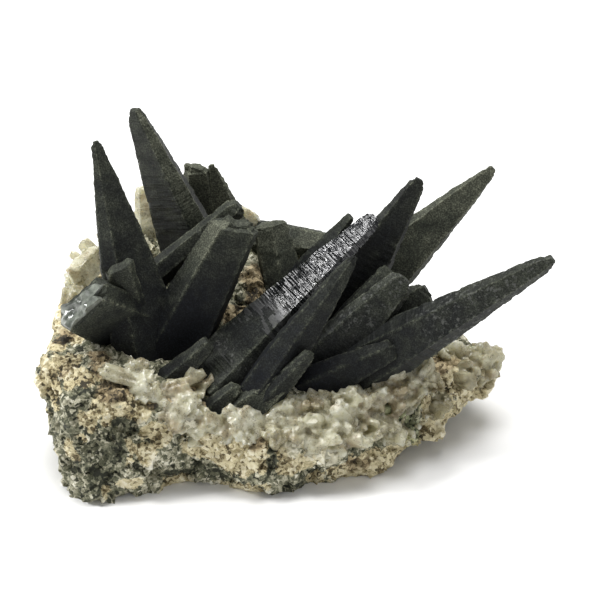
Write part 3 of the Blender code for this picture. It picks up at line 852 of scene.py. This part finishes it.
def grow_sugar(points, faces, tones, sugary):
    """Adds thousands of tiny crystals on the skin, under and around the larger ones."""
    dice = random.Random(SEED + 1)
    for spot, normal, amount in sugary:
        clumped = smooth(ripple(spot / MM, SUGAR_CLUMP, 1.6) + 0.75)
        if normal.z < SUGAR_STEEPEST or dice.random() > SUGAR_SHARE * amount * clumped:
            continue
        way = normal + Vector([dice.uniform(-0.8, 0.8) for _ in range(3)])
        upright = way.to_track_quat("Z", "Y").to_matrix()
        size = dice.choice(SUGAR_SIZES) * dice.uniform(0.8, 1.3)
        count = tiny_crystal(points, faces, spot, upright, size, dice)
        shade = dice.random()
        # painted shade with murk: each tiny crystal's foot ring darker than its shoulders and roof
        tones.extend([0.3 * shade] * (count // 2) + [0.25 + 0.75 * shade] * (count - count // 2))


def build_crust(skin, sugary, finish):
    """The pale crystals, large and tiny, grown together into one milky crust that keeps their shades."""
    points, faces, tones = [], [], []
    grow_druse(points, faces, tones, skin)
    grow_sugar(points, faces, tones, sugary)
    piece = piece_from("druse_crust", points, faces)
    tree = search_tree(points)
    for index, stained in enumerate(shown(TANS + GREENS, tree, len(points))):
        tones[index] *= 1 - STAINED_SHADE * stained
    voxel_skin(piece, CRUST_VOXEL, SOFTENING)
    blended = []
    for vert in piece.data.vertices:
        near = tree.find_n(vert.co, SHADES_BLENDED)
        blended.append(sum(tones[index] for _, index, _ in near) / len(near))
    carry(piece.data, "shade", blended)
    even_shading(piece.data, CRUST_SHARP)
    piece.data.materials.append(finish)
    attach(piece, "root")


# ---- materials


def node(kind, values, tree=None, **settings):
    """Adds a shader node. A value that is a socket is linked, and any other is set.

    Unless its tree is given, it goes into the one that those sockets are in.
    """
    linked = {name: value for name, value in values.items() if isinstance(value, bpy.types.NodeSocket)}
    tree = tree or next(iter(linked.values())).id_data
    made = tree.nodes.new("ShaderNode" + kind)
    for name, value in settings.items():
        setattr(made, name, value)
    for name, value in values.items():
        if name in linked:
            tree.links.new(value, made.inputs[name])
        else:
            made.inputs[name].default_value = value
    return made


def new_material(name, **sockets):
    """A material, its node tree and its shader, with these sockets of the shader set."""
    made = bpy.data.materials.new(name)
    made.use_nodes = True
    shader = made.node_tree.nodes["Principled BSDF"]
    for socket, value in sockets.items():
        shader.inputs[socket.replace("_", " ")].default_value = value
    return made, made.node_tree, shader


def place_mm(tree):
    """The point on the object, in millimetres."""
    place = node("TexCoord", {}, tree).outputs["Object"]
    return node("VectorMath", {0: place, 3: 1000.0}, operation="SCALE").outputs[0]


def noise_at(place, size, detail, rough=0.55):
    """Noise from 0 to 1 whose lumps are about this many millimetres."""
    values = {"Vector": place, "Scale": 1 / size, "Detail": detail, "Roughness": rough}
    return node("TexNoise", values).outputs["Fac"]


def ramp(share, *stops):
    """Colours by share: each stop is a place from 0 to 1 and a colour or grey."""
    made = node("ValToRGB", {"Fac": share})
    elements = made.color_ramp.elements
    while len(elements) < len(stops):
        elements.new(0.5)
    for element, (place, colour) in zip(elements, stops):
        element.position = place
        element.color = (*colour, 1) if isinstance(colour, tuple) else (colour, colour, colour, 1)
    return made.outputs["Color"]


def mix(share, one, other, way="MIX"):
    """A colour mixed from two others."""
    made = node("Mix", {0: share, 6: one, 7: other}, data_type="RGBA", blend_type=way)
    return made.outputs[2]


def math_node(way, one, other):
    """A number worked out from two others."""
    return node("Math", {0: one, 1: other}, operation=way).outputs[0]


def weighed(start, *parts):
    """A number with shares of others added to it."""
    for value, weight in parts:
        start = math_node("ADD", start, math_node("MULTIPLY", value, weight))
    return start


def bumps(layers):
    """One bump on another: each has its height, how strong it is, and its depth in millimetres."""
    normal = None
    for height, strength, depth in layers:
        values = {"Height": height, "Strength": strength, "Distance": depth * MM}
        if normal is not None:
            values["Normal"] = normal
        normal = node("Bump", values).outputs[0]
    return normal


def carried(tree, name, output="Fac"):
    """What the mesh carries under this name."""
    return node("Attribute", {}, tree, attribute_name=name).outputs[output]


def split(tree, name):
    """The three numbers of a vector that the mesh carries."""
    return tuple(node("SeparateXYZ", {0: carried(tree, name, "Vector")}).outputs)


def wire(shader, colour, rough, normal):
    """Links the shader to its colour, roughness and bumps."""
    for value, socket in ((colour, "Base Color"), (rough, "Roughness"), (normal, "Normal")):
        shader.id_data.links.new(value, shader.inputs[socket])


def chlorite_material(name, reflection):
    """Quartz full of dark chlorite: olive-grey under its dust, paler along worn edges, and lined across,
    with painted shade at the roots, painted light on one face and painted reflections.
    """
    made, tree, shader = new_material(name, IOR=1.54, Specular_IOR_Level=reflection)
    place = place_mm(tree)
    # the tone's first number: the dust coat, with painted shade towards the roots and painted light on one
    # face
    dust, broken, worn = split(tree, "tone")
    gloss = carried(tree, "gloss")
    grain = carried(tree, "grain", "Vector")
    stretched = node("Mapping", {"Vector": grain, "Scale": (0.14, 2.8, 1.0)}).outputs[0]
    dashes = noise_at(stretched, 1.0, 0.5, 0.5)
    lined = node("Mapping", {"Vector": grain, "Scale": (0.22, 0.6, 1.0)}).outputs[0]
    waves = noise_at(lined, 1.0, 1.5, 0.5)
    cloud = noise_at(place, 3.0, 5.0)
    speck = noise_at(place, 0.3, 2.0, 0.7)
    blotch = noise_at(place, 0.9, 5.0, 0.65)
    coat = math_node("ADD", dust, ramp(cloud, (0.3, 0.0), (0.7, 0.3)))
    rubbed = math_node("MULTIPLY", worn, ramp(blotch, (0.4, 0.0), (0.6, 0.45)))
    coat = math_node("ADD", coat, rubbed)
    coat = math_node("SUBTRACT", coat, 0.15)
    hue = ramp(
        coat, (0.0, (0.005, 0.006, 0.008)), (0.25, (0.013, 0.0145, 0.013)),
        (0.55, (0.038, 0.042, 0.031)), (1.0, (0.12, 0.125, 0.09)),
    )
    colour = mix(1.0, hue, ramp(speck, (0.35, 0.45), (0.5, 0.9), (0.68, 2.2)), "MULTIPLY")
    # painted reflections: pale grey blotches on crystals of middling gloss
    painted_reflection_share = ramp(gloss, (0.32, 0.0), (0.38, 0.8), (0.5, 0.0))
    patches = math_node("MULTIPLY", painted_reflection_share, ramp(blotch, (0.55, 0.0), (0.62, 1.0)))
    colour = mix(patches, colour, (0.1, 0.103, 0.095, 1))
    glassy = ramp(cloud, (0.4, (0.07, 0.08, 0.066)), (0.6, (0.25, 0.27, 0.23)))
    colour = mix(broken, colour, glassy)
    rough = ramp(gloss, (0.05, 0.75), (0.36, 0.5), (0.5, 0.95), (0.74, 0.8), (0.92, 0.13))
    rough = node("Mix", {0: broken, 2: rough, 3: 0.12}, data_type="FLOAT").outputs[0]
    strong = ramp(gloss, (0.12, 0.05), (0.3, 0.4), (0.5, 0.3), (0.75, 0.4), (0.95, 1.0))
    gritty = ramp(gloss, (0.3, 0.5), (0.6, 0.06))
    lines = [(waves, strong, 1.2), (dashes, strong, 0.32), (cloud, strong, 0.5), (speck, gritty, 0.05)]
    wire(shader, colour, rough, bumps(lines))
    return made


def pale_material(name, clear, clean=0.0):
    """Milky quartz and adularia: creamy, a little see-through, murkier in places, and darker at its feet
    with murk and painted shade.
    """
    made, tree, shader = new_material(name, IOR=1.54, Transmission_Weight=clear, Subsurface_Weight=0.6)
    shader.inputs["Subsurface Scale"].default_value = 2.5 * MM
    shader.inputs["Subsurface Radius"].default_value = (1.0, 0.95, 0.8)
    place = place_mm(tree)
    cloud = noise_at(place, 4.0, 5.0, 0.6)
    speck = noise_at(place, 0.35, 2.0)
    hue = ramp(
        math_node("ADD", carried(tree, "shade"), clean),
        (0.0, (0.22, 0.18, 0.1)), (0.22, (0.5, 0.465, 0.31)),
        (0.5, (0.76, 0.73, 0.53)), (1.0, (0.92, 0.91, 0.74)),
    )
    rust = ramp(noise_at(place, 6.0, 4.0, 0.6), (0.52, 0.0), (0.64, 0.6))
    hue = mix(rust, hue, (0.4, 0.29, 0.15, 1))
    murk = ramp(cloud, (0.46, 0.0), (0.68, 0.7))
    colour = mix(murk, hue, (0.3, 0.25, 0.14, 1))
    specks = ramp(speck, (0.54, 0.0), (0.68, 0.8))
    clusters = ramp(cloud, (0.4, 0.25), (0.62, 1.0))
    dusted = math_node("MULTIPLY", specks, clusters)
    colour = mix(dusted, colour, (0.1, 0.1, 0.06, 1))
    rough = ramp(cloud, (0.35, 0.06), (0.7, 0.35))
    etched = noise_at(place, 0.9, 2.0, 0.6)
    wire(shader, colour, rough, bumps([(etched, 0.6, 0.35), (speck, 0.4, 0.06)]))
    return made


def rock_material():
    """Speckled grey-green gneiss with cream feldspar, rusty stains, tan rims and a sugary pale crust, and
    painted shade in its hollows.
    """
    made, tree, shader = new_material("gneiss_finish", Specular_IOR_Level=0.35)
    place = place_mm(tree)
    cream, dark, stain = split(tree, "minerals")
    sugar, tan, green = split(tree, "growth")
    relief = carried(tree, "relief")
    swirl = node("TexNoise", {"Vector": place, "Scale": 1.2}).outputs["Color"]
    warped = node("VectorMath", {0: place, 1: swirl}).outputs[0]
    cells = node("TexVoronoi", {"Vector": warped, "Scale": 1 / 0.7}).outputs["Color"]
    cells = node("SeparateColor", {0: cells}).outputs[0]
    fine = noise_at(place, 0.45, 4.0, 0.7)
    cloud = noise_at(place, 3.5, 5.0)
    light = math_node("MAXIMUM", cream, tan)
    # painted shade: the value is darker in the relief's hollows and lighter on its rises
    value = weighed(
        -0.9, (cells, 0.65), (fine, 1.0), (cloud, 0.85), (relief, 0.3), (light, 0.06), (dark, -0.2),
    )
    gneiss = ramp(
        value, (0.1, (0.03, 0.032, 0.02)), (0.3, (0.1, 0.104, 0.063)), (0.46, (0.2, 0.2, 0.127)),
        (0.6, (0.37, 0.355, 0.25)), (0.8, (0.67, 0.64, 0.49)), (1.0, (0.87, 0.85, 0.73)),
    )
    creamy = ramp(
        value, (0.05, (0.04, 0.033, 0.017)), (0.26, (0.2, 0.155, 0.075)), (0.42, (0.54, 0.465, 0.27)),
        (0.7, (0.77, 0.69, 0.45)), (1.0, (0.93, 0.88, 0.7)),
    )
    crusty = ramp(
        value, (0.1, (0.27, 0.26, 0.165)), (0.35, (0.5, 0.47, 0.32)),
        (0.6, (0.66, 0.62, 0.45)), (1.0, (0.84, 0.81, 0.66)),
    )
    rusty = ramp(
        value, (0.1, (0.02, 0.015, 0.01)), (0.4, (0.09, 0.065, 0.034)),
        (0.6, (0.25, 0.18, 0.09)), (1.0, (0.6, 0.48, 0.27)),
    )
    colour = gneiss
    for amount, start, full, most, mineral in (
        (light, 0.42, 0.56, 1.0, creamy), (sugar, 0.4, 0.7, 0.9, crusty), (stain, 0.4, 0.8, 0.85, rusty)
    ):
        edge = weighed(-1.4, (cloud, 1.6), (fine, 1.2), (amount, 1.0))
        colour = mix(ramp(edge, (start, 0.0), (full, most)), colour, mineral)
    tinted = mix(1.0, colour, (0.75, 0.84, 0.68, 1), "MULTIPLY")
    colour = mix(green, colour, tinted)
    rough = ramp(cloud, (0.3, 0.55), (0.7, 0.85))
    wire(shader, colour, rough, bumps([(cells, 0.7, 0.3), (fine, 0.8, 0.4)]))
    return made


# ---- stage


def build_floor():
    """The plain pale floor, which isn't part of the object."""
    mesh = bpy.data.meshes.new("floor")
    half = 1.5
    corners = [(-half, -half, 0), (half, -half, 0), (half, half, 0), (-half, half, 0)]
    mesh.from_pydata(corners, [], [(0, 1, 2, 3)])
    made, _, shader = new_material("floor_finish", Roughness=0.9, Specular_IOR_Level=0.1)
    shader.inputs["Base Color"].default_value = (0.95, 0.95, 0.945, 1)
    mesh.materials.append(made)
    new_piece("floor", mesh)


def aimed(piece, target, way, distance):
    """Stands a camera or light this far from its target in this direction, facing it."""
    piece.location = target + distance * way
    piece.rotation_euler = (-way).to_track_quat("-Z", "Y").to_euler()
    return piece


def build_camera():
    """Looks down on the cluster from in front, as far away as a long lens stands."""
    elevation, distance, target = math.radians(35), 0.42, Vector((0, 0.004, 0.025))
    back = Vector((0, -math.cos(elevation), math.sin(elevation)))
    data = bpy.data.cameras.new("camera")
    data.sensor_width = 36
    data.lens = 126
    bpy.context.scene.camera = aimed(new_piece("camera", data), target, back, distance)


def area_light(name, way, distance, size, power):
    """A square soft light, this far from the cluster in this direction."""
    data = bpy.data.lights.new(name, "AREA")
    data.size = size
    data.energy = power
    aimed(new_piece(name, data), Vector((0, 0, 0.02)), Vector(way).normalized(), distance)


def build_lights():
    """A small light on the left that the shiny blade mirrors, a large one overhead, and pale air."""
    area_light("key", (-0.75, 0.02, 0.67), distance=0.6, size=0.12, power=2.2)
    area_light("overhead", (0.03, 0.28, 1), distance=0.8, size=0.5, power=6.6)
    world = bpy.data.worlds.new("studio")
    world.use_nodes = True
    air = world.node_tree.nodes["Background"].inputs
    air["Color"].default_value = (1, 1, 1, 1)
    air["Strength"].default_value = 0.39
    bpy.context.scene.world = world
    bpy.context.scene.view_settings.view_transform = "Standard"


def main():
    build_camera()
    build_lights()
    build_floor()
    dull = chlorite_material("dull_chlorite_quartz", 0.18)
    glossy = chlorite_material("glossy_chlorite_quartz", 0.75)
    build_crystals(dull, glossy, pale_material("large_pale_quartz", 0.3, 0.6))
    skin, sugary = build_slab(rock_material())
    build_crust(skin, sugary, pale_material("druse_quartz", 0.4))


main()
